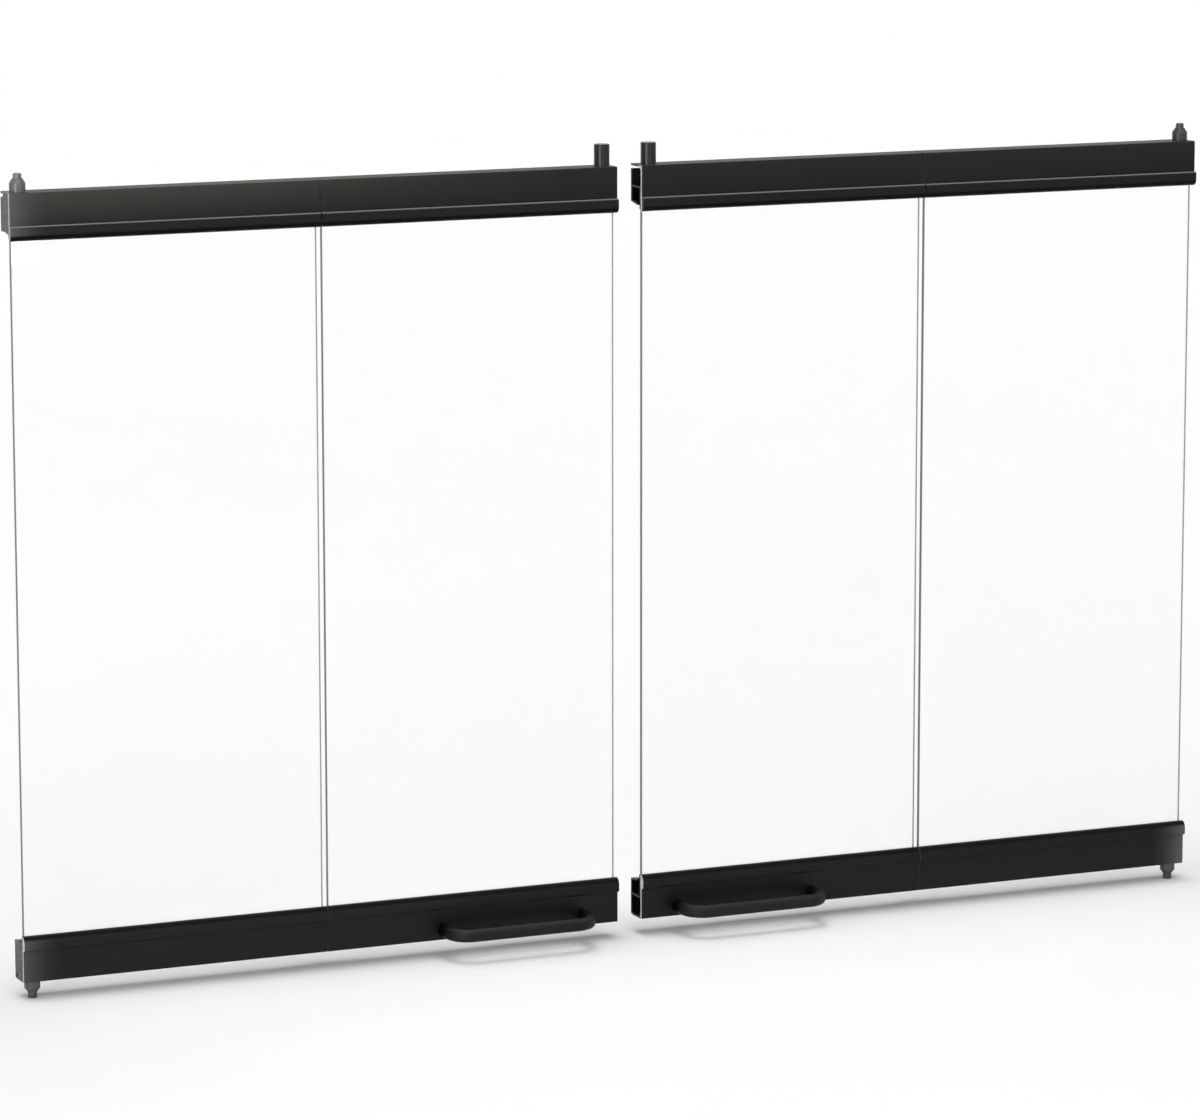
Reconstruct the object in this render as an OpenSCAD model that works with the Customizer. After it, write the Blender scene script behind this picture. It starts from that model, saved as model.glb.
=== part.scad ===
// Bi-fold glass doors for a fireplace opening: two folding pairs of clear panels between
// extruded rails, hung on pivots at the outer ends and guided by rollers where they meet.
// X runs along the opening, +Y goes into the fireplace and +Z is up. The origin is midway
// between the two bottom pivots, level with their tips.

/* [Overall] */
// Width of the set over the rails
set_w = 914; // [620:1:1400]
// Height of the set over the rails
set_h = 546; // [360:1:900]
// Gap between the two pairs where they meet
pair_gap = 19; // [16:0.5:30]
// Gap between the rails of one pair at the fold
fold_gap = 0.8; // [0.6:0.1:2]

/* [Rail section] */
// Height of a rail, from its outer edge to its glass lip
rail_h = 32.7; // [31:0.1:45]
// Depth of a rail behind its main front face
rail_d = 19; // [17.5:0.1:26]
// Thickness of the front wall
front_wall = 2; // [1.2:0.1:3]
// Thickness of the back wall
back_wall = 1.8; // [1.2:0.1:2.6]
// Thickness of the flange along the outer edge
flange_t = 1.3; // [1:0.1:2.5]
// Top rail: height of the open slot between the flange and the back wall
slot_h = 2.2; // [1:0.1:3]
// Bottom rail: radius of the closed corner behind the flange
heel_r = 2; // [0.5:0.1:2.2]
// Outer edge to the web that carries the pivots and stops the glass
web_h = 15; // [14:0.1:17]
// Thickness of the web
web_t = 1.4; // [1:0.1:2.5]
// Height of the bead that covers the edge of the glass
bead_h = 10.3; // [7:0.1:12]
// How far the bead stands in front of the main face
bead_out = 3; // [1.5:0.1:5]
// Radius of the bead's nose at the lip
nose_r = 4.6; // [1:0.1:4.8]
// Radius along the ridge of the bead
ridge_r = 2; // [0.5:0.1:2.4]
// Radius of the front corner of the flange
edge_r = 0.9; // [0.3:0.1:1.8]
// Radius inside that corner
fillet_r = 4; // [1:0.1:6]
// How far the back corner of the jaw stays short of the lip
jaw_short = 5.6; // [4:0.1:8]
// How far the tip of the jaw stays short of the lip
jaw_tip_short = 4; // [2.5:0.1:6]
// Thickness of the jaw behind the glass
jaw_t = 1.5; // [1:0.1:2.5]

/* [Glass and gasket] */
// Thickness of the glass
glass_t = 3.2; // [3:0.1:5]
// Bevel ground along the upright edges of the glass
arris = 0.4; // [0.1:0.1:1]
// How far the edge of the glass stays inside the end of a rail
glass_inset = 1.5; // [1.4:0.1:3]
// Wall thickness of the gasket
gasket_t = 1; // [0.6:0.1:2]
// Space between the front wall and the gasket
gasket_clear = 0.4; // [0.1:0.1:1.5]
// How far the gasket stays short of the lip
gasket_short = 1.2; // [0.5:0.1:3]

/* [Pivots] */
// End of a rail to the axis of its pivot or guide
pivot_end = 8.5; // [7.5:0.1:14]
// Outer diameter of a pivot sleeve
sleeve_d = 11.1; // [10.6:0.1:12.5]
// Space between the front wall and a sleeve
sleeve_clear = 0.45; // [0.2:0.05:1]
// Thickness of the plate with which a sleeve closes the end of its rail
plate_t = 1.2; // [0.8:0.1:1.3]
// Top sleeve: how far it stands above the rail
top_sleeve_out = 9.5; // [6:0.1:14]
// Top sleeve: height of its conical shoulder
top_shoulder = 3.2; // [1:0.1:4.5]
// Top pin: diameter of its free end
top_pin_d = 5.8; // [5:0.05:6]
// Top pin: how far its free end stands out of the sleeve
top_pin_out = 3.4; // [3:0.1:5]
// Top pin: radius around its tip
top_tip_r = 1.2; // [0.3:0.1:2]
// Top pin: how much wider the shank in the sleeve is, on each side
shank_step = 0.25; // [0.2:0.05:0.6]
// Top pin: how much wider its collar is than the shank, on each side
collar_step = 0.8; // [0.5:0.05:0.9]
// Top pin: thickness of its collar
collar_t = 2; // [1.2:0.1:3]
// Top pin: depth of its collar below the outer edge of the rail
collar_h = 2; // [1.5:0.1:3]
// Wire diameter of the spring under the top pin
wire_d = 0.9; // [0.6:0.1:1]
// Turns of that spring
spring_turns = 6; // [4:1:8]
// Bottom sleeve: how far it stands below the rail
bottom_sleeve_out = 8.2; // [5:0.1:12]
// Bottom sleeve: height of its conical shoulder
bottom_shoulder = 2.8; // [1:0.1:4]
// Bottom pin: diameter of its free end
foot_d = 6.35; // [5.5:0.05:6.6]
// Bottom pin: length of its free end
bottom_pin_out = 4.3; // [3:0.1:8]
// Bottom pin: diameter of the spindle in the sleeve
spindle_d = 5; // [4:0.1:5.2]
// Bottom pin: how far the spindle reaches above the outer edge of the rail
spindle_in = 10; // [6:0.1:12]

/* [Guides] */
// Diameter of a guide roller
guide_d = 11; // [9:0.1:13]
// How far a guide roller stands above the rail
guide_out = 15.6; // [10:0.1:22]
// Diameter of the spindle in the roller
guide_spindle_d = 6; // [4:0.1:7]
// Diameter of the guide pin's barrel in the rail
barrel_d = 9.6; // [7.5:0.1:10]
// Thickness of the roller's closed end
guide_cap_t = 1.8; // [1:0.1:3]

/* [Fold hinges] */
// Height of a hinge
hinge_h = 20; // [16:0.1:22]
// Outer edge of the rail to the middle of a hinge
hinge_mid = 15; // [14:0.1:16]
// Length of a hinge leaf along the rail
leaf_l = 26; // [18:0.1:36]
// Thickness of a hinge leaf
leaf_t = 1.5; // [1:0.1:2]
// Radius of a hinge knuckle
knuckle_r = 3; // [2.5:0.1:4]
// Gap between two knuckles
knuckle_gap = 0.3; // [0.2:0.1:0.8]
// Diameter of a hinge pin
hinge_pin_d = 3; // [2:0.1:3.6]
// Height of a hinge pin's domed head
hinge_head_h = 0.9; // [0.5:0.1:1.5]

/* [Handles] */
// Meeting end of the rail to the middle of a handle
handle_x = 82; // [75:0.5:110]
// Outer edge of the rail to the middle of a handle
handle_h = 7.6; // [7:0.1:10.4]
// Distance between the legs of a handle
handle_span = 108; // [70:1:130]
// How far a handle stands in front of the main face
handle_out = 30; // [24:0.5:45]
// Height of the grip
grip_h = 9; // [7:0.1:12]
// Thickness of the grip
grip_t = 7; // [6:0.1:10]
// Radius on the edges of the grip
grip_r = 3; // [1:0.1:3.4]
// Bend radius at the ends of the grip, on its middle line
bend_r = 14; // [8:0.5:18]

/* [Screws] */
// Diameter of the screws
screw_d = 4; // [3:0.1:4]
// Head diameter of the handle and hinge screws
head_d = 7; // [5.5:0.1:7.4]
// Head height of the handle and hinge screws
head_h = 2.2; // [1.5:0.1:2.4]
// How far a handle screw reaches into the leg
handle_screw_in = 8; // [5:0.1:12]
// How far a hinge screw reaches past the face of the rail
hinge_screw_in = 6; // [3:0.1:7]
// End of the rail to the screws of a hinge leaf
hinge_screw_x = 14; // [10:0.5:15]
// Spacing of the two screws of a hinge leaf
hinge_screw_gap = 11; // [10:0.1:12]
// End of the rail to the set screws that clamp the glass
clamp_x = 46; // [44:0.5:60]
// Outer edge of the rail to the set screws that clamp the glass
clamp_h = 21; // [19.5:0.1:23]
// Outer edge of the rail to the set screws that lock the sleeves
lock_h = 8.6; // [7:0.1:11]

/* [Fits] */
// Radial clearance of pins that turn or slide
run_gap = 0.05; // [0.02:0.01:0.1]
// Radial clearance of parts fixed in holes
seat_gap = 0.05; // [0.02:0.01:0.2]
// Clearance where ends and faces stay apart
face_gap = 0.3; // [0.2:0.05:0.6]

/* [Hidden] */
$fn = 64;

// Sides, leaves and edges, as the modules below name them
left = -1;
right = 1;
outer = 0;
inner = 1;
bottom = 0;
top = 1;

rail_l = (set_w / 2 - pair_gap / 2 - fold_gap) / 2;
ridge_h = rail_h - bead_h;
back_h = flange_t + slot_h;
jaw_h = rail_h - jaw_short;
jaw_tip_h = rail_h - jaw_tip_short;

gasket_front = front_wall + gasket_clear;
glass_front = gasket_front + gasket_t;
glass_back = glass_front + glass_t;
gasket_back = glass_back + gasket_t;
pocket_h = web_h + web_t;
glass_h = pocket_h + gasket_t;

pivot_y = front_wall + sleeve_clear + sleeve_d / 2;
base_z = bottom_sleeve_out + bottom_pin_out;
shank_d = top_pin_d + 2 * shank_step;
collar_d = shank_d + 2 * collar_step;
rim = 0.25;
cut = 0.02;

hinge_x = rail_l + fold_gap / 2;
hinge_y = rail_d + face_gap + knuckle_r;
knuckle_h = (hinge_h - 2 * knuckle_gap) / 3;

head_seat_y = rail_d + leaf_t;
leg_x = [handle_x - handle_span / 2, handle_x + handle_span / 2];
grip_y = grip_t / 2 - handle_out;
socket_d = screw_d / 2;
socket_in = screw_d / 2;

rail_color = "#262524";
bare_color = "#b9b7b2";
glass_color = [0.82, 0.88, 0.87, 0.3];
gasket_color = "#4a4a48";
sleeve_color = "#3c3b3a";
pin_color = "#55534f";
steel_color = "#8a8884";
handle_color = "#1f1e1e";

// ---------- frames ----------

// A panel is drawn with its pivot or guide end at x = 0 and its fold at x = rail_l,
// its main front face at y = 0 and the bottom edge of its bottom rail at z = 0.
module place(side, leaf) {
    start = side * (leaf == outer ? set_w / 2 : pair_gap / 2);
    run = leaf == outer ? -side : side;
    translate([start, -pivot_y, base_z])
    if (run > 0) {
        children();
    } else {
        mirror([1, 0, 0]) children();
    }
}

// What belongs to an edge is drawn for the bottom one, with z counted from the outer edge.
module at_edge(edge) {
    if (edge == bottom) {
        children();
    } else {
        translate([0, 0, set_h]) mirror([0, 0, 1]) children();
    }
}

module on_pivot() {
    translate([pivot_end, pivot_y, 0]) children();
}

// A cylinder along Y from y0 to y1
module bar_y(d, x, y0, y1, z) {
    translate([x, y1, z]) rotate([90, 0, 0]) cylinder(d = d, h = y1 - y0);
}

// Takes a corner off to radius r; into points from the corner into the solid
module corner_cut(at, r, into) {
    translate([at[0] + into[0] * r, at[1] + into[1] * r])
    difference() {
        translate([-into[0] * (r + cut) / 2, -into[1] * (r + cut) / 2])
            square(r + cut, center = true);
        circle(r);
    }
}

// ---------- rails ----------

// Section of the rail: x is the depth behind the main face, y the height from the outer edge
module rail_section(edge) {
    back_from = edge == top ? back_h : 0;
    difference() {
        union() {
            square([front_wall, ridge_h + bead_out]);
            square([rail_d, flange_t]);
            translate([0, web_h]) square([rail_d, web_t]);
            translate([rail_d - back_wall, back_from]) square([back_wall, jaw_h - back_from]);
            jaw_section();
            translate([-bead_out, ridge_h]) square([bead_out + gasket_front, bead_h]);
            fillet_section([front_wall, flange_t]);
        }
        corner_cut([0, 0], edge_r, [1, 1]);
        corner_cut([rail_d, jaw_h], edge_r, [-1, -1]);
        corner_cut([-bead_out, ridge_h], ridge_r, [1, 1]);
        corner_cut([-bead_out, rail_h], nose_r, [1, -1]);
        if (edge == bottom) {
            corner_cut([rail_d, 0], heel_r, [-1, 1]);
        }
    }
}

// The jaw runs from inside the back wall to the back of the gasket
module jaw_section() {
    root = rail_d - back_wall + rim;
    polygon([
        [root, jaw_h - jaw_t],
        [root, jaw_h],
        [gasket_back, jaw_tip_h],
        [gasket_back, jaw_tip_h - jaw_t]
    ]);
}

module fillet_section(at) {
    translate(at)
    difference() {
        translate([-cut, -cut]) square(fillet_r + cut);
        translate([fillet_r, fillet_r]) circle(fillet_r);
    }
}

module along_rail(length) {
    rotate([90, 0, 90]) linear_extrude(length) children();
}

module rail(leaf, edge) {
    color(rail_color)
    at_edge(edge)
    difference() {
        along_rail(rail_l) rail_section(edge);
        if (leaf == outer || edge == top) {
            on_pivot() translate([0, 0, -1])
                cylinder(d = seat_d(leaf) + 2 * seat_gap, h = flange_t + fillet_r + 2);
            back_hole(pivot_end, lock_h, screw_d);
        }
        if (leaf == outer) {
            sleeve_slot();
        }
        for (x = [clamp_x, rail_l - clamp_x]) {
            back_hole(x, clamp_h, screw_d);
        }
        for (z = hinge_screw_z()) {
            back_hole(rail_l - hinge_screw_x, z, screw_d);
        }
        if (leaf == inner && edge == bottom) {
            for (x = leg_x) {
                back_hole(x, handle_h, head_d + 1);
                bar_y(screw_d + 2 * seat_gap, x, -1, front_wall + fillet_r, handle_h);
                bar_y(head_d + 1, x, front_wall, front_wall + fillet_r, handle_h);
            }
        }
    }
}

// A sleeve and its end plate slide in from the end of the rail
module sleeve_slot() {
    w = sleeve_d + 2 * seat_gap;
    translate([-1, pivot_y - w / 2, -1]) cube([pivot_end + 1, w, flange_t + fillet_r + 2]);
    translate([-1, front_wall, back_h]) cube([plate_t + seat_gap + 1, rail_d, rail_h]);
}

module back_hole(x, z, d) {
    bar_y(d + 2 * seat_gap, x, rail_d - back_wall - 1, rail_d + 1, z);
}

// Diameter of what stands in the end of a rail: a sleeve, or the barrel of a guide pin
function seat_d(leaf) = leaf == outer ? sleeve_d : barrel_d;

function hinge_screw_z() = [hinge_mid - hinge_screw_gap / 2, hinge_mid + hinge_screw_gap / 2];

// ---------- glass ----------

module glass() {
    w = rail_l - 2 * glass_inset;
    color(glass_color)
    translate([glass_inset, glass_front, glass_h])
    linear_extrude(set_h - 2 * glass_h)
        polygon([
            [arris, 0],
            [w - arris, 0],
            [w, arris],
            [w, glass_t - arris],
            [w - arris, glass_t],
            [arris, glass_t],
            [0, glass_t - arris],
            [0, arris]
        ]);
}

// A channel of U section on the edge of the glass
module gasket(edge) {
    color(gasket_color)
    at_edge(edge)
    translate([glass_inset, 0, 0])
    along_rail(rail_l - 2 * glass_inset)
    difference() {
        translate([gasket_front, pocket_h])
            square([gasket_back - gasket_front, rail_h - gasket_short - pocket_h]);
        translate([glass_front, glass_h])
            square([glass_t, rail_h]);
    }
}

// ---------- pivots ----------

// A sleeve stands on the web and narrows at its outer end to mouth_r. A neck joins it to the
// plate that closes the end of the rail behind the front wall.
module sleeve_blank(out, shoulder, mouth_r) {
    plate_front = front_wall + face_gap;
    plate_low = back_h + face_gap;
    translate([0, plate_front, plate_low]) cube([plate_t, rail_d - plate_front, jaw_h - plate_low]);
    translate([0, pivot_y - sleeve_d / 2, 0]) cube([pivot_end, sleeve_d, web_h]);
    on_pivot()
    rotate_extrude()
    polygon([
        [0, -out],
        [mouth_r, -out],
        [sleeve_d / 2, shoulder - out],
        [sleeve_d / 2, web_h],
        [0, web_h]
    ]);
}

module top_pivot_sleeve() {
    color(sleeve_color)
    at_edge(top)
    difference() {
        sleeve_blank(top_sleeve_out, top_shoulder, shank_d / 2 + run_gap + rim);
        on_pivot() translate([0, 0, -top_sleeve_out - 1])
            cylinder(d = shank_d + 2 * run_gap, h = top_sleeve_out + collar_h + 2);
        on_pivot() translate([0, 0, collar_h])
            cylinder(d = collar_d + 2 * run_gap, h = web_h);
    }
}

module top_pivot_pin() {
    color(pin_color)
    at_edge(top) on_pivot() {
        rotate_extrude()
        difference() {
            translate([0, -top_sleeve_out - top_pin_out]) square([top_pin_d / 2, top_pin_out + collar_h]);
            corner_cut([top_pin_d / 2, -top_sleeve_out - top_pin_out], top_tip_r, [-1, 1]);
        }
        translate([0, 0, -top_sleeve_out]) cylinder(d = shank_d, h = top_sleeve_out + collar_h + collar_t);
        translate([0, 0, collar_h]) cylinder(d = collar_d, h = collar_t);
    }
}

// Points of a helix ring: i counts rings, s counts sides
function helix_point(i, s, rings, r, z0, rise) =
    let (a = 360 * spring_turns * i / rings, b = 360 * s / 6)
    [(r + wire_d / 2 * cos(b)) * cos(a), (r + wire_d / 2 * cos(b)) * sin(a), z0 + rise * i / rings + wire_d / 2 * sin(b)];

module top_pivot_spring() {
    rings = spring_turns * 10;
    r = (collar_d - wire_d) / 2 - rim;
    z0 = collar_h + collar_t + wire_d / 2;
    rise = web_h - wire_d / 2 - z0;
    points = [for (i = [0:rings]) for (s = [0:5]) helix_point(i, s, rings, r, z0, rise)];
    sides = [
        for (i = [0:rings - 1]) for (s = [0:5])
        for (half = [0:1])
        let (n = (s + 1) % 6)
        half == 0 ? [i * 6 + s, i * 6 + 6 + n, i * 6 + n] : [i * 6 + s, i * 6 + 6 + s, i * 6 + 6 + n]
    ];
    start_cap = [for (s = [1:4]) [0, s, s + 1]];
    end_cap = [for (s = [1:4]) [rings * 6, rings * 6 + s + 1, rings * 6 + s]];
    color(steel_color)
    at_edge(top) on_pivot()
        polyhedron(points, concat(sides, start_cap, end_cap), convexity = 10);
}

module bottom_pivot_sleeve() {
    color(sleeve_color)
    difference() {
        sleeve_blank(bottom_sleeve_out, bottom_shoulder, foot_d / 2 + rim);
        on_pivot() translate([0, 0, -bottom_sleeve_out - 1])
            cylinder(d = spindle_d + 2 * run_gap, h = bottom_sleeve_out + 1 + spindle_in + face_gap);
    }
}

module bottom_pivot_pin() {
    color(pin_color)
    on_pivot() {
        translate([0, 0, -base_z]) cylinder(d = foot_d, h = bottom_pin_out);
        translate([0, 0, -base_z]) cylinder(d = spindle_d, h = base_z + spindle_in);
    }
}

// ---------- guides ----------

module guide_pin() {
    color(steel_color)
    at_edge(top) on_pivot() {
        translate([0, 0, -face_gap]) cylinder(d = barrel_d, h = web_h + face_gap);
        translate([0, 0, guide_cap_t - guide_out])
            cylinder(d = guide_spindle_d, h = guide_out - guide_cap_t);
    }
}

module guide_roller() {
    color(sleeve_color)
    at_edge(top) on_pivot()
    difference() {
        rotate_extrude()
        difference() {
            translate([0, -guide_out]) square([guide_d / 2, guide_out - 2 * face_gap]);
            corner_cut([guide_d / 2, -guide_out], rim, [-1, 1]);
        }
        translate([0, 0, guide_cap_t - guide_out])
            cylinder(d = guide_spindle_d + 2 * run_gap, h = guide_out);
    }
}

// ---------- fold hinges ----------

// Two knuckles on the leaf of the outer panel, one between them on the other
module hinge_leaf(leaf, edge) {
    low = hinge_mid - hinge_h / 2;
    step = knuckle_h + knuckle_gap;
    knuckles = leaf == outer ? [0, 2] : [1];
    gaps = leaf == outer ? [1] : [0, 2];
    color(rail_color)
    at_edge(edge)
    difference() {
        union() {
            translate([rail_l - leaf_l, rail_d, low]) cube([leaf_l, leaf_t, hinge_h]);
            for (k = knuckles) {
                translate([hinge_x, hinge_y, low + k * step]) cylinder(r = knuckle_r, h = knuckle_h);
                translate([rail_l - knuckle_r, rail_d, low + k * step])
                    cube([knuckle_r + fold_gap / 2, leaf_t, knuckle_h]);
            }
        }
        for (k = gaps) {
            translate([hinge_x, hinge_y, low + k * step - knuckle_gap])
                cylinder(r = knuckle_r + face_gap, h = knuckle_h + 2 * knuckle_gap);
        }
        translate([hinge_x, hinge_y, low - 1]) cylinder(d = hinge_pin_d + 2 * run_gap, h = hinge_h + 2);
        for (z = hinge_screw_z()) {
            bar_y(screw_d + 2 * seat_gap, rail_l - hinge_screw_x, rail_d - 1, head_seat_y + 1, z);
            countersink(rail_l - hinge_screw_x, z, seat_gap);
        }
    }
}

// The cone of a countersunk head, let into a hinge leaf
module countersink(x, z, clear) {
    translate([x, head_seat_y, z]) rotate([90, 0, 0])
        cylinder(d1 = head_d + 2 * clear, d2 = screw_d + 2 * clear, h = leaf_t);
}

module hinge_pin(edge) {
    low = hinge_mid - hinge_h / 2;
    color(steel_color)
    at_edge(edge)
    translate([hinge_x, hinge_y, low]) {
        cylinder(d = hinge_pin_d, h = hinge_h);
        cylinder_head(0, -1);
        cylinder_head(hinge_h, 1);
    }
}

// A domed rivet head at height z, rising towards dir
module cylinder_head(z, dir) {
    head_r = hinge_pin_d / 2 + 0.7;
    translate([0, 0, z])
    mirror([0, 0, dir > 0 ? 0 : 1])
    rotate_extrude()
    difference() {
        square([head_r, hinge_head_h]);
        corner_cut([head_r, hinge_head_h], hinge_head_h * 0.8, [-1, -1]);
    }
}

module hinge_screws() {
    color(steel_color)
    for (edge = [bottom, top]) {
        at_edge(edge)
        for (z = hinge_screw_z()) {
            difference() {
                union() {
                    bar_y(screw_d, rail_l - hinge_screw_x, rail_d - hinge_screw_in, head_seat_y, z);
                    countersink(rail_l - hinge_screw_x, z, 0);
                }
                hex_socket(rail_l - hinge_screw_x, head_seat_y, z);
            }
        }
    }
}

// ---------- handles ----------

module grip_section() {
    r = min(grip_r, grip_t / 2 - cut, grip_h / 2 - cut);
    difference() {
        square([grip_t, grip_h], center = true);
        for (sx = [-1, 1]) {
            for (sy = [-1, 1]) {
                corner_cut([sx * grip_t / 2, sy * grip_h / 2], r, [-sx, -sy]);
            }
        }
    }
}

module handle() {
    color(handle_color)
    translate([handle_x, 0, handle_h])
    difference() {
        union() {
            translate([bend_r - handle_span / 2, grip_y, 0]) rotate([90, 0, 90])
                linear_extrude(handle_span - 2 * bend_r) grip_section();
            handle_end();
            mirror([1, 0, 0]) handle_end();
        }
        for (s = [-1, 1]) {
            bar_y(screw_d + 2 * seat_gap, s * handle_span / 2, -handle_screw_in - face_gap, 1, 0);
        }
    }
}

// One bend of the handle and the leg that follows it
module handle_end() {
    translate([handle_span / 2 - bend_r, grip_y + bend_r, 0])
        rotate([0, 0, -90]) rotate_extrude(angle = 90) translate([bend_r, 0]) grip_section();
    translate([handle_span / 2, 0, 0]) rotate([90, 0, 0])
        linear_extrude(-grip_y - bend_r) grip_section();
}

module handle_screws() {
    color(steel_color)
    for (x = leg_x) {
        difference() {
            union() {
                bar_y(screw_d, x, -handle_screw_in, front_wall + head_h, handle_h);
                bar_y(head_d, x, front_wall, front_wall + head_h, handle_h);
            }
            hex_socket(x, front_wall + head_h, handle_h);
        }
    }
}

// ---------- set screws ----------

module hex_socket(x, y, z) {
    translate([x, y + cut, z]) rotate([90, 0, 0]) cylinder(d = socket_d, h = socket_in, $fn = 6);
}

module set_screw(x, y0, z) {
    difference() {
        bar_y(screw_d, x, y0, rail_d, z);
        hex_socket(x, rail_d, z);
    }
}

// Clamp screws on both rails, and lock screws behind the sleeves and the guide pin
module set_screws(leaf) {
    color(steel_color)
    for (edge = [bottom, top]) {
        at_edge(edge) {
            for (x = [clamp_x, rail_l - clamp_x]) {
                set_screw(x, gasket_back, clamp_h);
            }
            if (leaf == outer || edge == top) {
                set_screw(pivot_end, pivot_y + seat_d(leaf) / 2, lock_h);
            }
        }
    }
}

// ---------- the pieces in their places ----------

place(left, outer) glass();  // left_outer_glass
place(left, outer) rail(outer, top);  // left_outer_top_rail
place(left, outer) rail(outer, bottom);  // left_outer_bottom_rail
place(left, outer) gasket(top);  // left_outer_top_gasket
place(left, outer) gasket(bottom);  // left_outer_bottom_gasket
place(left, outer) set_screws(outer);  // left_outer_set_screws
place(left, inner) glass();  // left_inner_glass
place(left, inner) rail(inner, top);  // left_inner_top_rail
place(left, inner) rail(inner, bottom);  // left_inner_bottom_rail
place(left, inner) gasket(top);  // left_inner_top_gasket
place(left, inner) gasket(bottom);  // left_inner_bottom_gasket
place(left, inner) set_screws(inner);  // left_inner_set_screws
place(right, outer) glass();  // right_outer_glass
place(right, outer) rail(outer, top);  // right_outer_top_rail
place(right, outer) rail(outer, bottom);  // right_outer_bottom_rail
place(right, outer) gasket(top);  // right_outer_top_gasket
place(right, outer) gasket(bottom);  // right_outer_bottom_gasket
place(right, outer) set_screws(outer);  // right_outer_set_screws
place(right, inner) glass();  // right_inner_glass
place(right, inner) rail(inner, top);  // right_inner_top_rail
place(right, inner) rail(inner, bottom);  // right_inner_bottom_rail
place(right, inner) gasket(top);  // right_inner_top_gasket
place(right, inner) gasket(bottom);  // right_inner_bottom_gasket
place(right, inner) set_screws(inner);  // right_inner_set_screws
place(left, outer) top_pivot_sleeve();  // left_top_pivot_sleeve
place(left, outer) top_pivot_pin();  // left_top_pivot_pin
place(left, outer) top_pivot_spring();  // left_top_pivot_spring
place(left, outer) bottom_pivot_sleeve();  // left_bottom_pivot_sleeve
place(left, outer) bottom_pivot_pin();  // left_bottom_pivot_pin
place(right, outer) top_pivot_sleeve();  // right_top_pivot_sleeve
place(right, outer) top_pivot_pin();  // right_top_pivot_pin
place(right, outer) top_pivot_spring();  // right_top_pivot_spring
place(right, outer) bottom_pivot_sleeve();  // right_bottom_pivot_sleeve
place(right, outer) bottom_pivot_pin();  // right_bottom_pivot_pin
place(left, inner) guide_pin();  // left_guide_pin
place(left, inner) guide_roller();  // left_guide_roller
place(right, inner) guide_pin();  // right_guide_pin
place(right, inner) guide_roller();  // right_guide_roller
place(left, outer) hinge_leaf(outer, top);  // left_top_hinge_outer_leaf
place(left, inner) hinge_leaf(inner, top);  // left_top_hinge_inner_leaf
place(left, outer) hinge_pin(top);  // left_top_hinge_pin
place(left, outer) hinge_leaf(outer, bottom);  // left_bottom_hinge_outer_leaf
place(left, inner) hinge_leaf(inner, bottom);  // left_bottom_hinge_inner_leaf
place(left, outer) hinge_pin(bottom);  // left_bottom_hinge_pin
place(right, outer) hinge_leaf(outer, top);  // right_top_hinge_outer_leaf
place(right, inner) hinge_leaf(inner, top);  // right_top_hinge_inner_leaf
place(right, outer) hinge_pin(top);  // right_top_hinge_pin
place(right, outer) hinge_leaf(outer, bottom);  // right_bottom_hinge_outer_leaf
place(right, inner) hinge_leaf(inner, bottom);  // right_bottom_hinge_inner_leaf
place(right, outer) hinge_pin(bottom);  // right_bottom_hinge_pin
place(left, outer) hinge_screws();  // left_outer_hinge_screws
place(left, inner) hinge_screws();  // left_inner_hinge_screws
place(right, outer) hinge_screws();  // right_outer_hinge_screws
place(right, inner) hinge_screws();  // right_inner_hinge_screws
place(left, inner) handle();  // left_handle
place(left, inner) handle_screws();  // left_handle_screws
place(right, inner) handle();  // right_handle
place(right, inner) handle_screws();  // right_handle_screws
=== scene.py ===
"""Looks and studio for a pair of bi-fold fireplace glass doors.

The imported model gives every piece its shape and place. This script gives each piece its finish, and
sets up the pale studio and the camera of the product photograph. Lengths are metres unless a name
says otherwise.
"""

import logging
import math
from dataclasses import dataclass, field, replace
from enum import Enum

import bmesh
import bpy
from mathutils import Matrix, Vector


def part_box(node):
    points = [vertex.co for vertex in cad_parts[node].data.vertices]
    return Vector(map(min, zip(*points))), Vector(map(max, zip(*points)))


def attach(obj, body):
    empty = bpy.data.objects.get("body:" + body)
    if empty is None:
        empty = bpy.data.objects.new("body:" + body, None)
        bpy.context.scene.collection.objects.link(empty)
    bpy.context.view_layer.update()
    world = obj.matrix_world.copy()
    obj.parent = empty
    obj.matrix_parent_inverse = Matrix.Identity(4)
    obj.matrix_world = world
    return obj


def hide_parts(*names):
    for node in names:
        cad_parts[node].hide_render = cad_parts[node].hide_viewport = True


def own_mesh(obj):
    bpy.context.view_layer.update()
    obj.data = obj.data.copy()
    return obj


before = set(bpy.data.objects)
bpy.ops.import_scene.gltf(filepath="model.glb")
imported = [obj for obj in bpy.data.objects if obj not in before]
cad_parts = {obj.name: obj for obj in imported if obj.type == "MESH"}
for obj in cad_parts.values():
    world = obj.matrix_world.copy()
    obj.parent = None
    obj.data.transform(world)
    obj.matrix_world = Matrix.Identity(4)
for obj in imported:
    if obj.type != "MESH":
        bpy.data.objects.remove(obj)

LOG = logging.getLogger("glass_door")

Colour = tuple[float, float, float]
Triple = tuple[float, float, float]

MM = 0.001
BLACK: Colour = (0.0, 0.0, 0.0)
WHITE: Colour = (1.0, 1.0, 1.0)

# Most of a cloudy noise lies between these two values.
NOISE_LOW = 0.35
NOISE_HIGH = 0.65

# A mix node has a set of sockets for each kind of value. These are the ones that colours use.
MIX_SHARE = 0
MIX_COLOURS = (6, 7)
MIX_RESULT = 2


class Side(Enum):
    """The two folding pairs of the set, as the room sees them."""

    LEFT = "left"
    RIGHT = "right"


class Leaf(Enum):
    """The two panels of one folding pair."""

    OUTER = "outer"
    INNER = "inner"


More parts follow.
